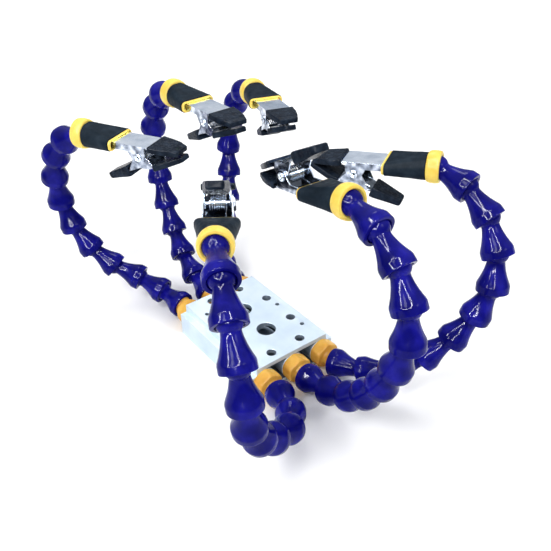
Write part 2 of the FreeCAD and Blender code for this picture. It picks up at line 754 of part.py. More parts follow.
# end of the base (-1 left, 1 right), row (-1 front, 0 middle, 1 back), whether the flat
# handle of the clip is above (1) or below (-1) its lever, then the bend at every ball:
# three at the root, three at the middle, four at the top and one at the nozzle, each as
# (up, sideways) in degrees. Every clip is held level.
ARMS = {
    "left_front": (-1, -1, 1, [(8, -12), (17, 2), (19, -4), (27.5, 2)]),
    "left_middle": (-1, 0, 1, [(13, 3), (12, -1), (21, 0), (19, 8)]),
    "left_back": (-1, 1, 1, [(10, 14), (13, -4), (22, 6), (15, 4)]),
    "right_front": (1, -1, -1, [(12, -20), (15, 6), (21, -7), (23, -2)]),
    "right_middle": (1, 0, -1, [(15, -2), (10, 1), (23, 0), (24, 0)]),
    "right_back": (1, 1, 1, [(12, 15), (13, -3), (20, 9), (28, -4)]),
}
BALLS_PER_STRETCH = [3, 3, 4, 1]
LINK_GROUPS = [("lower_links", 0, 3), ("middle_links", 3, 6), ("upper_links", 6, 10)]

jaw_drop = math.degrees(math.atan2(handle_top.value - upper_tip.value, jaw_end.value - jaw_start.value))
jaw_rise = math.degrees(math.atan(jaw_slope.value))

connectors = {-1: [], 1: []}
for arm, (end, row, handle_up, stretches) in ARMS.items():
    start = V(end * base_length.value / 2, row * port_pitch.value, port_height.value)
    run = Frame(start, V(end, 0, 0), V(0, 1, 0), V(0, 0, 1))
    connectors[end].append(copy_of(connector, arm + "_connector", run.placement()))
    run.advance(port_reach.value)

    bends = [bend for bend, count in zip(stretches, BALLS_PER_STRETCH) for _ in range(count)]
    links = []
    for number, (up, sideways) in enumerate(bends[:-1]):
        run.bend(up, sideways)
        links.append(copy_of(link, "%s_link_%d" % (arm, number + 1), run.placement()))
        run.advance(pitch.value)
    run.bend(*bends[-1])
    for title, first, last in LINK_GROUPS:
        nodes.append(group("%s_%s" % (arm, title), links[first:last]))

    hand = run.level(handle_up)
    pivot = at(pivot_x, pivot_z)
    coil_turn = FreeCAD.Placement(V(), FreeCAD.Rotation(V(0, 0, 1), V(-1, 0, 0), V(0, -1, 0), "XYZ"))

    def piece(source, title, local=FreeCAD.Placement()):
        return copy_of(source, "%s_%s" % (arm, title), hand * local)

    nodes.append(group(arm + "_nozzle", [piece(nozzle, "nozzle_body")]))
    nodes.append(group(arm + "_sleeve", [piece(sleeve, "sleeve_skin")]))
    nodes.append(group(arm + "_clip_frame", [
        piece(frame, "frame_stamping"), piece(rivet, "rivet", pivot), piece(spring, "spring", pivot * coil_turn)]))
    along_lever = at(web_back, web_z, 180 - lever_angle.value)
    nodes.append(group(arm + "_clip_lever", [
        piece(lever, "lever_stamping"),
        piece(spring_leg, "free_spring_leg", along_lever * FreeCAD.Placement(
            V(-2, coil_length.value / 2 + 1.2, -wire.value), FreeCAD.Rotation()))]))
    nodes.append(group(arm + "_upper_jaw_boot", [piece(
        upper_boot, "upper_boot_skin", at(jaw_start, handle_top, jaw_drop))]))
    flipped = FreeCAD.Placement(V(), FreeCAD.Rotation(V(1, 0, 0), 180))
    nodes.append(group(arm + "_lever_boots", [
        piece(lower_boot, "lower_boot_skin", at(web_front, web_z, -jaw_rise)),
        piece(thumb_boot, "thumb_boot_skin", along_lever * flipped)]))

nodes.append(group("left_connectors", connectors[-1]))
nodes.append(group("right_connectors", connectors[1]))
doc.recompute()


# ---- check and export ------------------------------------------------------

for thing in doc.Objects:
    if "Invalid" in thing.State or "Error" in thing.State:
        raise RuntimeError("%s: %s" % (thing.Label, thing.State))

for node in nodes:
    shape = node.Shape
    if shape.isNull() or not shape.isValid():
        raise RuntimeError(node.Label + " is not a sound solid")
    if not shape.Solids:
        raise RuntimeError(node.Label + " has no solid")
    shape.exportStep("parts/%s.step" % node.Label)

print(len(nodes), "sub-parts")
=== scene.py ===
"""Bench helping hands: a drilled aluminium block with six ball-and-socket arms, each
ending in a slotted yellow nozzle that holds a spring clip in rubber boots."""
import json
import math

import bmesh
import bpy
import numpy
from mathutils import Matrix, Vector, noise

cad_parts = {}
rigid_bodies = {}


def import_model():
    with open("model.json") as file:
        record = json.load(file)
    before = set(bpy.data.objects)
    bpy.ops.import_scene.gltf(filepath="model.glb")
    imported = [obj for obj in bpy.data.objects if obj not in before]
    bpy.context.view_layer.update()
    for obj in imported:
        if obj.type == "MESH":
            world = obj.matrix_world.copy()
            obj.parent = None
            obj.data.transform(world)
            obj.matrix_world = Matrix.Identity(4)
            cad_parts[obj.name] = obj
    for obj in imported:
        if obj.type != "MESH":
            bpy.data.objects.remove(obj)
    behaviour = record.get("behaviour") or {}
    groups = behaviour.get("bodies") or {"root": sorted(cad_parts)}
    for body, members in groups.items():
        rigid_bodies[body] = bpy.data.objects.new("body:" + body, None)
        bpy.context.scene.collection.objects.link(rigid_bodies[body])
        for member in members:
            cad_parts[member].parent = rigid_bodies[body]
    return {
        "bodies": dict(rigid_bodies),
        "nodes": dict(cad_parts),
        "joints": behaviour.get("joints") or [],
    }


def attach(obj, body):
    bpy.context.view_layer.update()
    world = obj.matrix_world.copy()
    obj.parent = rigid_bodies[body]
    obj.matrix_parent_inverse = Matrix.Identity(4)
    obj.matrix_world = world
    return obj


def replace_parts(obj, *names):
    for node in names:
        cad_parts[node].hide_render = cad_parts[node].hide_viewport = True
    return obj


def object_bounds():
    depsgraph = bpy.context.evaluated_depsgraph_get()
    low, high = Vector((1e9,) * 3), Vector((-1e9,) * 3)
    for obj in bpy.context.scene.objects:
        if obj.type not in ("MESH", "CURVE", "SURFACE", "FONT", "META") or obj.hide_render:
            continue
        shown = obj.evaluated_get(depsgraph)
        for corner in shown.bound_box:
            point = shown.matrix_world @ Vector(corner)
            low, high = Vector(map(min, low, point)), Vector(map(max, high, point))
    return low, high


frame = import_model()
cad_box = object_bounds()
joints = {joint["name"]: joint for joint in frame["joints"]}
MM = 0.001

ARMS = sorted(body.removesuffix("_arm_root") for body in frame["bodies"] if body.endswith("_arm_root"))

# sizes of the repeated parts, in millimetres
PITCH = 19.8          # from one ball of an arm to the next
BALL = 6.6            # radius of a ball
SOCKET = 6.7          # radius of the socket that grips it
NECK = 4.9            # radius of a link behind its ball
BORE = 3.2            # radius of the hole through every link
RIM = 9.0             # radius of a link's rim
RIM_BACK = -2.5       # where the rim starts, behind the gripped ball
REACH = 16.0          # from the end face of the block to an arm's first ball
COLLAR = 9.1          # radius of the nozzle's collar
FAN_START, FAN_END, NOZZLE_TIP = 4.8, 27.0, 28.4
JAW_ROOT = 50.0       # where both jaws leave the clip's middle
WEB_BACK = 44.0       # where the thumb lever leaves the clip's middle
HANDLE_TOP, WEB_Z = 2.0, -11.2
FRAME_HALF, LEVER_HALF = 7.2, 6.2    # half widths of the clip's two stampings
BLOCK_HALF_LENGTH, BLOCK_TOP = 40, 22
BLOCK_HALF_WIDTHS = 32, 27.5         # below and above the steps along its sides
STEP_HEIGHT = 16.4


# ---- materials -------------------------------------------------------------

class Finish:
    """A principled material whose colour, roughness and bump vary over the surface."""

    def __init__(self, name, **uniform):
        self.material = bpy.data.materials.new(name)
        self.material.use_nodes = True
        self.nodes = self.material.node_tree.nodes
        self.links = self.material.node_tree.links
        self.shader = self.nodes["Principled BSDF"]
        for socket, value in uniform.items():
            self.shader.inputs[socket.replace("_", " ")].default_value = value
        self.place = self.nodes.new("ShaderNodeTexCoord").outputs["Object"]

    def cloud(self, scale, detail=4.0, stretch=(1, 1, 1)):
        """Soft noise in object space; scale counts features per metre."""
        mapping = self.nodes.new("ShaderNodeMapping")
        mapping.inputs["Scale"].default_value = stretch
        self.links.new(self.place, mapping.inputs["Vector"])
        texture = self.nodes.new("ShaderNodeTexNoise")
        texture.inputs["Scale"].default_value = scale
        texture.inputs["Detail"].default_value = detail
        self.links.new(mapping.outputs["Vector"], texture.inputs["Vector"])
        return texture.outputs["Fac"]

    def cells(self, scale):
        """Distance to the nearest of scattered points, for pits and grains."""
        texture = self.nodes.new("ShaderNodeTexVoronoi")
        texture.inputs["Scale"].default_value = scale
        self.links.new(self.place, texture.inputs["Vector"])
        return texture.outputs["Distance"]

    def colour(self, pattern, *stops):
        """Colours along the pattern, from its low to its high values."""
        ramp = self.nodes.new("ShaderNodeValToRGB")
        ramp.color_ramp.elements[0].position = 0.3
        ramp.color_ramp.elements[1].position = 0.7
        for extra in range(len(stops) - 2):
            ramp.color_ramp.elements.new(0.3 + 0.4 * (extra + 1) / (len(stops) - 1))
        for element, stop in zip(ramp.color_ramp.elements, stops):
            element.color = (*stop, 1)
        self.links.new(pattern, ramp.inputs["Fac"])
        self.links.new(ramp.outputs["Color"], self.shader.inputs["Base Color"])

    def roughness(self, pattern, low, high):
        """Roughness between two values."""
        span = self.nodes.new("ShaderNodeMapRange")
        span.inputs["From Min"].default_value = 0.3
        span.inputs["From Max"].default_value = 0.7
        span.inputs["To Min"].default_value = low
        span.inputs["To Max"].default_value = high
        self.links.new(pattern, span.inputs["Value"])
        self.links.new(span.outputs["Result"], self.shader.inputs["Roughness"])

    def bump(self, pattern, height, strength=0.5):
        """Raise the surface by the pattern; height in millimetres. Calls add up."""
        node = self.nodes.new("ShaderNodeBump")
        node.inputs["Distance"].default_value = height * MM
        node.inputs["Strength"].default_value = strength
        self.links.new(pattern, node.inputs["Height"])
        normal = self.shader.inputs["Normal"]
        if normal.is_linked:
            self.links.new(normal.links[0].from_socket, node.inputs["Normal"])
        self.links.new(node.outputs["Normal"], normal)


def aluminium():
    """Pale satin aluminium, fine blasted grain with faint drawn streaks along X."""
    finish = Finish("bare_aluminium", Metallic=0.25, IOR=1.3)
    finish.colour(finish.cloud(60), (0.50, 0.60, 0.70), (0.56, 0.66, 0.76), (0.62, 0.71, 0.80))
    finish.roughness(finish.cloud(500, 3, (0.05, 1, 1)), 0.34, 0.50)
    finish.bump(finish.cloud(9000, 2), 0.012, 0.35)
    finish.bump(finish.cloud(900, 3, (0.02, 1, 1)), 0.008, 0.3)
    return finish.material


def painted_shade_aluminium():
    """Painted shade: a darker metal colour for the inside of the block's bores and hollow, where shade
    falls.
    """
    finish = Finish("painted_shade_aluminium", Metallic=0.6)
    finish.colour(finish.cloud(120), (0.10, 0.14, 0.18), (0.17, 0.21, 0.26), (0.24, 0.29, 0.34))
    finish.roughness(finish.cloud(500, 3, (0.05, 1, 1)), 0.40, 0.60)
    finish.bump(finish.cloud(1500, 3, (0.05, 1, 1)), 0.02, 0.4)
    return finish.material


def acetal(name, dark, middle, light, shine, through):
    """Moulded plastic: faint colour drift, flow marks and a slightly uneven gloss."""
    finish = Finish(name, IOR=1.17, Subsurface_Weight=through, Subsurface_Scale=0.002)
    finish.colour(finish.cloud(90, 5), dark, middle, light)
    finish.roughness(finish.cloud(350, 4), shine, shine + 0.12)
    finish.bump(finish.cloud(260, 3), 0.05, 0.25)
    finish.bump(finish.cloud(2600, 3), 0.006, 0.4)
    return finish.material


def slate_sleeve():
    """Satin shrink sleeve, slate with soft ripples and a fine skin."""
    finish = Finish("slate_sleeve", IOR=1.09)
    finish.colour(finish.cloud(140, 5), (0.006, 0.012, 0.019), (0.010, 0.018, 0.028), (0.018, 0.029, 0.042))
    finish.roughness(finish.cloud(420, 4), 0.38, 0.55)
    finish.bump(finish.cloud(180, 3, (1, 0.5, 1)), 0.14, 0.4)
    finish.bump(finish.cloud(3200, 3), 0.012, 0.5)
    return finish.material


def plated_steel(name, scale, dark, middle, light):
    """Bright plated sheet steel, gently wavy, with light handling marks."""
    finish = Finish(name, Metallic=1.0)
    finish.colour(finish.cloud(scale, 3), dark, middle, light)
    finish.roughness(finish.cloud(700, 6, (0.15, 1, 1)), 0.07, 0.18)
    finish.bump(finish.cloud(170, 2), 0.14, 0.5)
    finish.bump(finish.cloud(1800, 4, (0.08, 1, 1)), 0.006, 0.35)
    return finish.material


def dark_rubber():
    """Dipped rubber: satin slate-black with pin pores and soft unevenness."""
    finish = Finish("dark_rubber", IOR=1.11)
    finish.colour(finish.cloud(220, 5), (0.005, 0.008, 0.015), (0.010, 0.016, 0.027), (0.020, 0.030, 0.048))
    finish.roughness(finish.cloud(500, 4), 0.18, 0.34)
    finish.bump(finish.cloud(320, 3), 0.12, 0.4)
    finish.bump(finish.cells(2400), 0.02, 0.35)
    return finish.material


MATERIALS = {
    "bare_aluminium": aluminium(),
    "orange_acetal": acetal(
        "orange_acetal", (0.62, 0.30, 0.05), (0.76, 0.42, 0.08), (0.88, 0.56, 0.14), 0.18, 0.15),
    "blue_acetal": acetal(
        "blue_acetal", (0.002, 0.002, 0.09), (0.004, 0.004, 0.15), (0.010, 0.009, 0.25), 0.05, 0.0),
    "yellow_acetal": acetal(
        "yellow_acetal", (0.84, 0.56, 0.085), (0.90, 0.66, 0.13), (0.94, 0.74, 0.18), 0.22, 0.15),
    "slate_sleeve": slate_sleeve(),
    "plated_steel": plated_steel(
        "plated_steel", 110, (0.58, 0.65, 0.76), (0.74, 0.81, 0.91), (0.87, 0.92, 0.99)),
    "dark_rubber": dark_rubber(),
}


# ---- mesh helpers ----------------------------------------------------------

def circle(x, radius, count=64):
    """A ring of points about the X axis."""
    turns = [math.tau * (k + 0.5) / count for k in range(count)]
    return [Vector((x, radius * math.cos(a), radius * math.sin(a))) for a in turns]


def rounded_box(x, half_width, low, high, corner, count=64):
    """A rectangle with rounded corners across the X axis, from low to high in Z."""
    corner = min(corner, half_width, (high - low) / 2)
    middle, half_height = (high + low) / 2, (high - low) / 2
    ring = []
    for quarter in range(4):
        side = Vector((0, (1, -1, -1, 1)[quarter], (1, 1, -1, -1)[quarter]))
        for k in range(count // 4):
            angle = math.tau * (quarter + (k + 0.5) / (count // 4)) / 4
            ring.append(Vector((
                x, side.y * (half_width - corner) + corner * math.cos(angle),
                middle + side.z * (half_height - corner) + corner * math.sin(angle))))
    return ring


def arc(centre, radius, start, end, steps=10):
    """Profile points on a circle about a point of the X axis, from x = start to x = end."""
    first = math.acos((start - centre) / radius)
    last = math.acos((end - centre) / radius)
    turns = [first + (last - first) * k / steps for k in range(steps + 1)]
    return [(centre + radius * math.cos(a), radius * math.sin(a)) for a in turns]


def softened(points, reach, steps=4):
    """The open polyline with every inner corner rounded off."""
    points = [Vector(p) for p in points]
    result = [points[0]]
    for before, here, after in zip(points, points[1:], points[2:]):
        back, on = before - here, after - here
        start = here + back.normalized() * min(reach, 0.45 * back.length)
        end = here + on.normalized() * min(reach, 0.45 * on.length)
        for k in range(steps + 1):
            s = k / steps
            result.append(start * (1 - s) ** 2 + here * 2 * s * (1 - s) + end * s ** 2)
    return result + [points[-1]]


def loft(rings, closed=False):
    """A skin through rings with equal numbers of points, capped unless it closes on itself."""
    skin = bmesh.new()
    rows = [[skin.verts.new(point * MM) for point in ring] for ring in rings]
    for here, there in zip(rows, rows[1:] + rows[:1] if closed else rows[1:]):
        for k in range(len(here)):
            skin.faces.new((here[k - 1], here[k], there[k], there[k - 1]))
    if not closed:
        skin.faces.new(rows[0])
        skin.faces.new(rows[-1])
    bmesh.ops.recalc_face_normals(skin, faces=skin.faces)
    return skin


def lathe(profile, count=64):
    """A closed profile of (x, radius) points turned about the X axis."""
    return loft([circle(x, radius, count) for x, radius in profile], closed=True)


def as_mesh(skin, name, slot, sharp=38):
    """The finished mesh: smooth with sharp edges kept, and its material."""
    mesh = bpy.data.meshes.new(name)
    skin.to_mesh(mesh)
    skin.free()
    for polygon in mesh.polygons:
        polygon.use_smooth = True
    mesh.set_sharp_from_angle(angle=math.radians(sharp))
    mesh.materials.clear()
    mesh.materials.append(MATERIALS[slot])
    return mesh


def put(mesh, name, place, body):
    """Set a piece in the scene at its place, riding on a body, with its own mesh laid there."""
    mesh = mesh.copy()
    mesh.transform(place)
    piece = bpy.data.objects.new(name, mesh)
    bpy.context.scene.collection.objects.link(piece)
    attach(piece, body)
    return piece


def solids(node):
    """The separate solids of a CAD node, each as a bmesh of its own, largest first."""
    whole = bmesh.new()
    whole.from_mesh(frame["nodes"][node].data)
    bmesh.ops.remove_doubles(whole, verts=whole.verts, dist=1e-7)
    unseen = set(whole.faces)
    groups = []
    while unseen:
        group, edge = set(), [unseen.pop()]
        while edge:
            face = edge.pop()
            group.add(face)
            for side in face.edges:
                for other in side.link_faces:
                    if other in unseen:
                        unseen.discard(other)
                        edge.append(other)
        groups.append(group)
    parts = []
    for group in groups:
        part = bmesh.new()
        copies = {}
        for face in group:
            corners = []
            for vertex in face.verts:
                if vertex not in copies:
                    copies[vertex] = part.verts.new(vertex.co)
                corners.append(copies[vertex])
            part.faces.new(corners)
        parts.append(part)
    whole.free()
    return sorted(parts, key=lambda part: -abs(part.calc_volume()))


def broken_edges(part, name, body, slot, bevel):
    """A CAD solid as a piece, flat faces joined up and sharp edges lightly rounded."""
    bmesh.ops.dissolve_limit(part, angle_limit=math.radians(1), verts=part.verts, edges=part.edges)
    bmesh.ops.recalc_face_normals(part, faces=part.faces)
    piece = put(as_mesh(part, name, slot, 30), name, Matrix.Identity(4), body)
    rounding = piece.modifiers.new("rounding", "BEVEL")
    rounding.limit_method = "ANGLE"
    rounding.angle_limit = math.radians(32)
    rounding.width = bevel * MM
    rounding.segments = 2
    evened = piece.modifiers.new("evened", "WEIGHTED_NORMAL")
    evened.keep_sharp = True
    return piece


def axes(origin, ahead, up):
    """A place with X ahead and Z as near to up as it can be."""
    ahead = ahead.normalized()
    side = up.cross(ahead).normalized()
    turn = Matrix((ahead, side, ahead.cross(side))).transposed().to_4x4()
    return Matrix.Translation(origin) @ turn


# ---- base ------------------------------------------------------------------

def inside_block(face, wall=0.6):
    """Whether a face of the block belongs to a bore, a hole or the hollow."""
    x, y, z = [abs(value) / MM for value in face.center]
    half_width = BLOCK_HALF_WIDTHS[z >= STEP_HEIGHT]
    within = x < BLOCK_HALF_LENGTH - wall and y < half_width - wall
    return within and wall < z < BLOCK_TOP - wall


base_block = broken_edges(
    solids("base_extrusion")[0], "base_block", "base", "bare_aluminium", 0.3)
# the faces inside the bores, holes and hollow get a second material, a painted shade
base_block.data.materials.append(painted_shade_aluminium())
for face in base_block.data.polygons:
    if inside_block(face):
        face.material_index = 1
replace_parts(base_block, "base_extrusion")


# ---- links and connectors --------------------------------------------------

def link_mesh():
    """X = 0 at the ball that the link grips, its own ball one pitch ahead."""
    flare_start, flare_end, sag = 3.0, 14.2, 0.45
    flare = []
    for step in range(9):
        t = step / 8
        radius = 8.55 + (NECK - 8.55) * t - 4 * sag * t * (1 - t)
        flare.append((flare_start + (flare_end - flare_start) * t, radius))
    outside = softened(
        [(RIM_BACK, 7.0), (RIM_BACK, RIM - 0.15), (-1.9, RIM), (1.7, RIM)] + flare[:1], 0.55)
    neck = softened([flare[-2], flare[-1], (PITCH - 4.42, NECK)], 0.9)
    ball = arc(PITCH, BALL, PITCH - 4.42, PITCH + 5.77, 18)
    socket = arc(0, SOCKET, 5.886, -1.6)
    bore_lip = [(PITCH + 5.6, BORE - 0.1), (6.4, BORE), (5.9, BORE + 0.05)]
    profile = [*outside, *flare[1:-2], *neck, *ball[1:], *bore_lip, *socket]
    return as_mesh(lathe(profile), "hose_link", "blue_acetal")


def link_place(part):
    """Where a link lies: X along its own axis, from the rim, which is its wide end."""
    faces = [(face.calc_center_median(), face.calc_area()) for face in part.faces]
    total = sum(area for _, area in faces)
    centre = sum((middle * area for middle, area in faces), Vector()) / total
    spread = numpy.zeros((3, 3))
    for middle, area in faces:
        spread += numpy.outer(middle - centre, middle - centre) * area
    ahead = Vector(numpy.linalg.eigh(spread)[1][:, 2])
    along = [(vertex.co - centre).dot(ahead) for vertex in part.verts]
    widths = [(vertex.co - centre - ahead * x).length for vertex, x in zip(part.verts, along)]
    if widths[along.index(max(along))] > widths[along.index(min(along))]:
        ahead, along = -ahead, [-x for x in along]
    return axes(centre + ahead * (min(along) - RIM_BACK * MM), ahead, Vector((0.1, 0.2, 1)))


def connector_mesh(length=8.0, reach=REACH, flat=8.0, sides=96):
    """X = 0 on the end face of the base block: hexagon, ball, and a shank in the port."""
    def hexagon(x, limit):
        ring = []
        for point in circle(x, 1, sides):
            off = (math.atan2(point.z, point.y) + math.pi / 6) % (math.pi / 3) - math.pi / 6
            radius = ((flat / math.cos(off)) ** -40 + limit ** -40) ** (-1 / 40)
            ring.append(Vector((x, point.y * radius, point.z * radius)))
        return ring

    barrel = [(0.05, 8.2), (0.25, 8.5), (0.7, 8.78), (2.4, 8.86), (4.0, 8.9), (5.6, 8.86),
              (length - 0.8, 8.75), (length - 0.3, 8.45), (length, 7.9)]
    neck = softened([
        (length, 7.6), (length + 0.3, NECK + 0.5), (length + 1.4, NECK),
        (reach - 4.42, NECK)], 0.6)
    ball = arc(reach, BALL, reach - 4.42, reach + 5.77, 18)
    inside = [(reach + 5.6, BORE), (-11.8, BORE), (-12, BORE + 0.2)]
    shank = [(-12, 6.0), (-11.4, 6.5), (0.0, 6.5)]
    rings = [hexagon(x, limit) for x, limit in barrel]
    rings += [circle(x, radius, sides) for x, radius in [*neck[1:], *ball[1:], *inside, *shank]]
    return as_mesh(loft(rings, closed=True), "ball_connector", "orange_acetal")


STRETCHES = [
    ("lower_links", "arm_root", "root_swing"), ("middle_links", "arm_middle", "middle_lean"),
    ("upper_links", "arm_top", "top_sway")]
link = link_mesh()
connector = connector_mesh()

for arm in ARMS:
    end = -1 if arm.startswith("left") else 1
    root = Vector(joints[arm + "_root_swing"]["pos_m"])
    place = axes(root - Vector((end * REACH * MM, 0, 0)), Vector((end, 0, 0)), Vector((0, 0, 1)))
    piece = put(connector, arm + "_connector", place, "base")
    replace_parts(piece, ("left" if end < 0 else "right") + "_connectors")

    number = 0
    for group, body, joint in STRETCHES:
        node = f"{arm}_{group}"
        start = Vector(joints[f"{arm}_{joint}"]["pos_m"])
        places = [link_place(part) for part in solids(node)]
        for place in sorted(places, key=lambda place: (place.translation - start).length):
            number += 1
            piece = put(link, f"{arm}_link_{number}", place, f"{arm}_{body}")
            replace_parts(piece, node)


# ---- nozzle and sleeve, X = 0 at the arm's last ball -----------------------

def fan(x, grow):
    """The outline of the nozzle's fan at x, grown evenly."""
    t = (x - FAN_START) / (FAN_END - FAN_START)
    half_height = 6.5 - 3.7 * t + grow
    return rounded_box(x, 7.2 + 3.6 * t + grow, -half_height, half_height, 6.1 - 3.9 * t + grow)


def nozzle_mesh():
    """Collar with a socket, fan, lip and the slot that the clip is pushed into."""
    band = []
    for step in range(9):
        u = step / 4 - 1
        band.append((0.95 + 3.1 * u, COLLAR - 0.4 * u * u))
    collar = softened([(RIM_BACK, 7.2), (RIM_BACK + 0.1, COLLAR - 0.7), band[0], band[1]], 0.7)
    shoulder = softened([band[-2], band[-1], (FAN_START, COLLAR - 1.1), (FAN_START, 7.4)], 0.6)
    rings = [circle(x, radius) for x, radius in [*collar, *band[2:-2], *shoulder]]
    rings += [fan(FAN_START + 0.1, 0), fan(16, 0), fan(FAN_END - 0.05, 0)]
    for x, half_width, half_height, corner in (
            (27.0, 10.95, 2.95, 2.3), (27.2, 11.2, 3.2, 2.5), (27.6, 11.3, 3.3, 2.7),
            (28.1, 11.2, 3.2, 2.6), (NOZZLE_TIP, 10.9, 2.9, 2.4), (NOZZLE_TIP, 9.9, 2.6, 1.5),
            (28.2, 9.7, 2.3, 1.4), (25.6, 9.5, 2.12, 1.4),
            (25.4, 8.15, 2.03, 0.3), (18.6, 8.12, 2.02, 0.3)):
        rings.append(rounded_box(x, half_width, -half_height, half_height, corner))
    rings += [circle(x, radius) for x, radius in [(18.5, BORE), (6.3, BORE), *arc(0, SOCKET, 5.886, -1.6)]]
    return as_mesh(loft(rings, closed=True), "slotted_nozzle", "yellow_acetal")


def sleeve_mesh(skin=0.83, steps=22):
    """Shrink sleeve over the fan: slightly rippled outside, smooth inside."""
    start, length = FAN_START + 0.12, FAN_END - FAN_START - 0.2
    rings = [fan(start, 0.04), fan(start, skin - 0.35)]
    for step in range(steps + 1):
        s = step / steps
        ring = fan(start + 0.25 + (length - 0.5) * s, skin - 0.06 * math.sin(math.pi * s))
        for point in ring:
            ripple = 0.13 * noise.noise(Vector((point.x * 0.22, point.y * 0.5, point.z * 0.5)))
            across = Vector((0, point.y, point.z)).normalized()
            point += across * ripple
        rings.append(ring)
    rings += [fan(start + length, skin - 0.35), fan(start + length, 0.04), fan(start + length / 2, 0.03)]
    return as_mesh(loft(rings, closed=True), "shrink_sleeve", "slate_sleeve")


# ---- spring clip, in the same place as its nozzle --------------------------

def rivet_mesh(half_length=8.0, pin=1.25):
    """Tubular rivet along X with rolled heads."""
    head = [(0.3, 0.62), (0.62, 0.95), (0.95, 1.45), (0.86, 2.0), (0.5, 2.36), (0.12, 2.4), (0.0, 2.3)]
    near = [(-half_length - x, radius) for x, radius in head] + [(-half_length, pin)]
    far = [(-x, radius) for x, radius in reversed(near)]
    return as_mesh(lathe(near + far, 48), "tubular_rivet", "plated_steel")


def wire(path, radius=0.45, count=12):
    """A round wire along a path."""
    rings, normal = [], None
    for k, point in enumerate(path):
        ahead = (path[min(k + 1, len(path) - 1)] - path[max(k - 1, 0)]).normalized()
        normal = normal or ahead.orthogonal()
        normal = (normal - ahead * normal.dot(ahead)).normalized()
        side = ahead.cross(normal)
        turns = [math.tau * j / count for j in range(count)]
        rings.append([point + (normal * math.cos(a) + side * math.sin(a)) * radius for a in turns])
    return loft(rings)


def spring_mesh(coil=3.9, half_length=4.2, turns=7, leg=9.0):
    """Torsion spring about Y at the pivot, its leg running back under the handle."""
    steps = 32 * turns
    path = []
    for step in range(steps + 1):
        angle = math.tau * (0.25 - turns * (1 - step / steps))
        y = half_length * (2 * step / steps - 1)
        path.append(Vector((coil * math.cos(angle), y, coil * math.sin(angle))))
    foot = path[-1]
    path += [foot + Vector((-leg * t, 0, 1.6 * t * t)) for t in (0.1, 0.25, 0.45, 0.7, 1)]
    return as_mesh(wire(path, 0.34), "torsion_spring", "plated_steel", 60)


def boot(name, skin, room):
    """Rubber over a plate: the room for the plate, then the outside from open to closed end.

    Each station is (x, half width, lowest, highest, corner radius).
    """
    rings = [rounded_box(*station) for station in [*reversed(room), *skin]]
    return as_mesh(loft(rings), name, "dark_rubber", 50)


def jaw_room(plate_half, start):
    """The space for a jaw plate that narrows toward its tip."""
    return [(x, half, -0.84, 0.04, 0.2) for x, half in (
        (start, plate_half + 0.15), (8, plate_half + 0.15), (19.3, plate_half - 3))]


upper_skin = [
    (2.4, 8.7, -1.9, 0.9, 0.5), (2.6, 9.0, -2.1, 1.2, 0.6), (3.2, 9.15, -2.1, 1.38, 0.7),
    (4.2, 9.15, -2.1, 1.38, 0.7), (4.7, 8.98, -2.1, 1.2, 0.7), (9.0, 9.1, -2.1, 1.2, 0.7),
    (15.0, 7.4, -2.1, 1.45, 0.7), (16.2, 7.1, -2.1, 1.5, 0.7), (16.6, 6.85, -2.1, 1.05, 0.7),
    (19.6, 6.0, -2.1, 0.95, 0.7), (20.3, 5.6, -1.9, 0.7, 0.6), (20.5, 5.0, -1.4, 0.2, 0.5)]
lower_skin = [
    (4.8, 8.6, -1.7, 1.1, 0.6), (5.0, 9.0, -2.2, 1.25, 0.7), (5.7, 9.15, -2.35, 1.3, 0.8),
    (6.6, 9.15, -2.35, 1.3, 0.8), (7.1, 8.98, -2.1, 1.3, 0.8), (9.2, 8.8, -2.1, 1.3, 0.8),
    (13.0, 7.5, -2.1, 1.3, 0.8), (19.0, 5.2, -2.1, 1.3, 0.8), (22.8, 3.8, -1.9, 1.15, 0.7),
    (23.7, 3.2, -1.5, 0.9, 0.6), (24.0, 2.5, -1.0, 0.4, 0.5)]
thumb_skin = [
    (9.4, 6.3, -3.4, 1.7, 1.0), (9.7, 6.7, -4.1, 2.3, 1.2), (10.6, 6.9, -4.3, 2.5, 1.3),
    (15.0, 6.3, -3.9, 2.25, 1.3), (20.0, 5.5, -3.2, 1.95, 1.2), (25.4, 4.75, -2.7, 1.65, 1.1),
    (26.8, 4.5, -2.6, 1.6, 1.1), (27.6, 4.1, -2.2, 1.3, 0.9), (28.1, 3.2, -1.7, 0.8, 0.7)]

shapes = {
    "nozzle": nozzle_mesh(),
    "sleeve": sleeve_mesh(),
    "rivet": rivet_mesh(),
    "spring": spring_mesh(),
    "upper_jaw_boot": boot("upper_jaw_boot", upper_skin, jaw_room(8.0, 2.4)),
    "lower_jaw_boot": boot("lower_jaw_boot", lower_skin, jaw_room(7.0, 4.8)),
    "thumb_boot": boot("thumb_boot", thumb_skin, [
        (9.4, 6.1, -0.84, 0.04, 0.2), (26.6, 3.6, -0.84, 0.04, 0.2)]),
}

JAW_DROP = math.atan2(1.6, 18.5)     # slope of the upper jaw, downward
JAW_RISE = math.atan2(6.6, 18.3)     # slope of the lower jaw, upward
LEVER_ANGLE = math.radians(24)
PIVOT_DROP = math.atan2(5, 45)       # slope from the arm's last ball to the clip's rivet

# Painted reflection: a darker, patchy copy of the plated steel for the stampings' sides, standing in for
# dark surroundings reflected there.
SIDE_PAINTED_REFLECTION = plated_steel("side_painted_reflection_steel", 240, (0.05, 0.06, 0.08), (0.27, 0.31, 0.39), (0.70, 0.75, 0.85))
# Painted shade: a still darker copy of the plated steel for the inside of the clip's channel.
CHANNEL_PAINTED_SHADE = plated_steel("channel_painted_shade_steel", 160, (0.05, 0.06, 0.08), (0.10, 0.12, 0.15), (0.24, 0.27, 0.32))


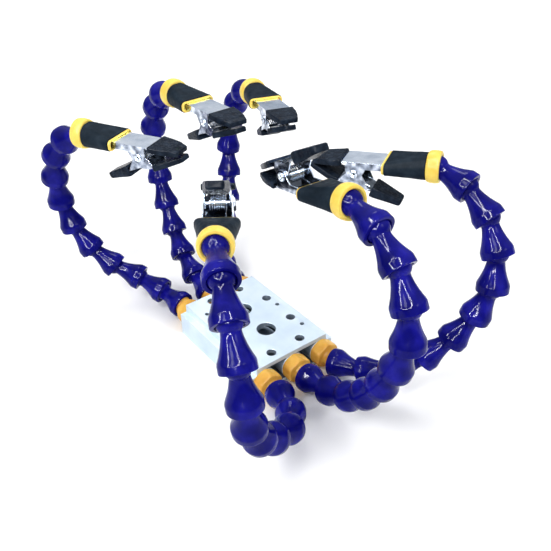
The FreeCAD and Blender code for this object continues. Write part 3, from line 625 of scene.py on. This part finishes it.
def paint_reflection_and_shade(piece, hand, half_width):
    """Paint a stamping's sides a darker, patchy plating as painted reflection, and the inside of its
    channel a darker one still as painted shade.
    """
    piece.data.materials.append(SIDE_PAINTED_REFLECTION)
    piece.data.materials.append(CHANNEL_PAINTED_SHADE)
    to_hand = hand.inverted()
    turn = to_hand.to_3x3()
    for face in piece.data.polygons:
        middle, normal = to_hand @ face.center, turn @ face.normal
        on_side = abs(normal.y) > 0.5
        within = abs(middle.y) < (half_width + 0.1) * MM and middle.x > 30 * MM
        under_plate = middle.z > -5 * MM and normal.z < -0.5
        over_web = middle.z < -5 * MM and normal.z > 0.3
        # faces inside the channel get the painted shade; the other side faces get the painted reflection
        if within and (middle.y * normal.y < 0 if on_side else under_plate or over_web):
            face.material_index = 2
        elif on_side:
            face.material_index = 1


def tipped(x, z, angle):
    """A place in the clip's side view, in millimetres, tipped about Y."""
    return Matrix.Translation((x * MM, 0, z * MM)) @ Matrix.Rotation(angle, 4, "Y")


for arm in ARMS:
    holder, jaw = arm + "_clip_holder", arm + "_clip_jaw"
    ball = Vector(joints[arm + "_clip_tilt"]["pos_m"])
    pivot = Vector(joints[arm + "_jaw_open"]["pos_m"])
    side = Vector(joints[arm + "_jaw_open"]["axis"])
    ahead = Matrix.Rotation(-PIVOT_DROP, 3, side) @ (pivot - ball)
    hand = axes(ball, ahead, ahead.cross(side))
    hinge = Matrix.Translation(pivot) @ hand.to_3x3().to_4x4()

    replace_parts(put(shapes["nozzle"], arm + "_nozzle_body", hand, holder), arm + "_nozzle")
    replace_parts(put(shapes["sleeve"], arm + "_shrink_sleeve", hand, holder), arm + "_sleeve")

    stamping = broken_edges(
        solids(arm + "_clip_frame")[0], arm + "_frame_stamping", holder, "plated_steel", 0.14)
    paint_reflection_and_shade(stamping, hand, FRAME_HALF)
    rivet = put(
        shapes["rivet"], arm + "_rivet", hinge @ Matrix.Rotation(math.pi / 2, 4, "Z"), holder)
    spring = put(shapes["spring"], arm + "_spring", hinge, holder)
    for piece in (stamping, rivet, spring):
        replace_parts(piece, arm + "_clip_frame")

    lever, leg = solids(arm + "_clip_lever")
    lever = broken_edges(lever, arm + "_lever_stamping", jaw, "plated_steel", 0.14)
    leg = broken_edges(leg, arm + "_lever_spring_leg", jaw, "plated_steel", 0.1)
    paint_reflection_and_shade(lever, hand, LEVER_HALF)
    for piece in (lever, leg):
        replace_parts(piece, arm + "_clip_lever")

    upper = put(
        shapes["upper_jaw_boot"], arm + "_upper_boot", hand @ tipped(JAW_ROOT, HANDLE_TOP, JAW_DROP),
        holder)
    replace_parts(upper, arm + "_upper_jaw_boot")
    lower = put(
        shapes["lower_jaw_boot"], arm + "_lower_boot", hand @ tipped(JAW_ROOT, WEB_Z, -JAW_RISE),
        jaw)
    thumb = put(
        shapes["thumb_boot"], arm + "_thumb_boot",
        hand @ tipped(WEB_BACK, WEB_Z, math.pi - LEVER_ANGLE) @ Matrix.Rotation(math.pi, 4, "X"),
        jaw)
    for piece in (upper, lower, thumb):
        soften = piece.modifiers.new("soften", "SUBSURF")
        soften.levels = soften.render_levels = 1
    for piece in (lower, thumb):
        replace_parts(piece, arm + "_lever_boots")


# ---- floor, light and camera ----------------------------------------------

def floor_mesh(half=4.0, cells=8):
    """A wide pale floor at the height that the block stands on."""
    skin = bmesh.new()
    bmesh.ops.create_grid(skin, x_segments=cells, y_segments=cells, size=half)
    mesh = bpy.data.meshes.new("floor")
    skin.to_mesh(mesh)
    skin.free()
    finish = Finish("pale_floor", IOR=1.3)
    finish.colour(finish.cloud(3), (0.965, 0.965, 0.965), (0.98, 0.98, 0.98))
    finish.roughness(finish.cloud(8), 0.75, 0.85)
    mesh.materials.append(finish.material)
    return mesh


def soft_light(name, azimuth, elevation, distance, size, power, colour=(1, 1, 1)):
    """A rectangular soft box that faces the middle of the object."""
    lamp = bpy.data.lights.new(name, "AREA")
    lamp.shape = "RECTANGLE"
    lamp.size, lamp.size_y = size
    lamp.energy = power
    lamp.color = colour
    box = bpy.data.objects.new(name, lamp)
    bpy.context.scene.collection.objects.link(box)
    set_round(box, azimuth, elevation, distance, sum(cad_box, Vector()) / 2)


def set_round(thing, azimuth, elevation, distance, target):
    """Place something round a target, facing it."""
    a, e = math.radians(azimuth), math.radians(elevation)
    back = Vector((math.sin(a) * math.cos(e), -math.cos(a) * math.cos(e), math.sin(e)))
    thing.location = target + back * distance
    thing.rotation_euler = (-back).to_track_quat("-Z", "Y").to_euler()


def strip_frame(name, azimuth, elevation, distance, half, width, power):
    """Four thin strips in a square round a point, seen only as highlights on glossy parts."""
    centre = bpy.data.objects.new(name, None)
    bpy.context.scene.collection.objects.link(centre)
    set_round(centre, azimuth, elevation, distance, sum(cad_box, Vector()) / 2)
    for number in range(4):
        lamp = bpy.data.lights.new(f"{name}_{number}", "AREA")
        lamp.shape = "RECTANGLE"
        lamp.size, lamp.size_y = 2 * half, width
        lamp.energy = power
        strip = bpy.data.objects.new(f"{name}_{number}", lamp)
        bpy.context.scene.collection.objects.link(strip)
        turn = Matrix.Rotation(number * math.pi / 2, 4, "Z") @ Matrix.Translation((0, half, 0))
        strip.matrix_world = centre.matrix_basis @ turn
        strip.visible_diffuse = False


floor = bpy.data.objects.new("floor", floor_mesh())
floor.location.z = cad_box[0].z
bpy.context.scene.collection.objects.link(floor)

soft_light("key_light", 15, 50, 1.6, (0.35, 0.55), 11)
soft_light("fill_light", 105, 40, 1.8, (0.45, 0.45), 5)
soft_light("back_light", 235, 50, 1.9, (0.6, 0.4), 8)
strip_frame(
    "strips", azimuth=25, elevation=50, distance=0.75, half=0.34, width=0.045, power=16)

world = bpy.data.worlds.new("studio")
world.use_nodes = True
bpy.context.scene.world = world
tree = world.node_tree
direction = tree.nodes.new("ShaderNodeTexCoord").outputs["Generated"]
split = tree.nodes.new("ShaderNodeSeparateXYZ")
tree.links.new(direction, split.inputs["Vector"])
sky = tree.nodes.new("ShaderNodeValToRGB")
sky.color_ramp.elements.new(0.3)
for stop, position, colour in zip(sky.color_ramp.elements, (0.0, 0.26, 0.58), (
        (0.05, 0.07, 0.11, 1), (0.48, 0.52, 0.58, 1), (1, 1, 1, 1))):
    stop.position = position
    stop.color = colour
tree.links.new(split.outputs["Z"], sky.inputs["Fac"])
tree.links.new(sky.outputs["Color"], tree.nodes["Background"].inputs["Color"])
tree.nodes["Background"].inputs["Strength"].default_value = 1.0
bpy.context.scene.view_settings.view_transform = "Standard"

camera = bpy.data.objects.new("camera", bpy.data.cameras.new("camera"))
camera.data.lens = 44.5
camera.data.clip_start = 0.01
bpy.context.scene.collection.objects.link(camera)
bpy.context.scene.camera = camera
camera_target = Vector((0.0154, 0.0057, 0.0627))
set_round(camera, azimuth=52.07, elevation=35.25, distance=0.4145, target=camera_target)
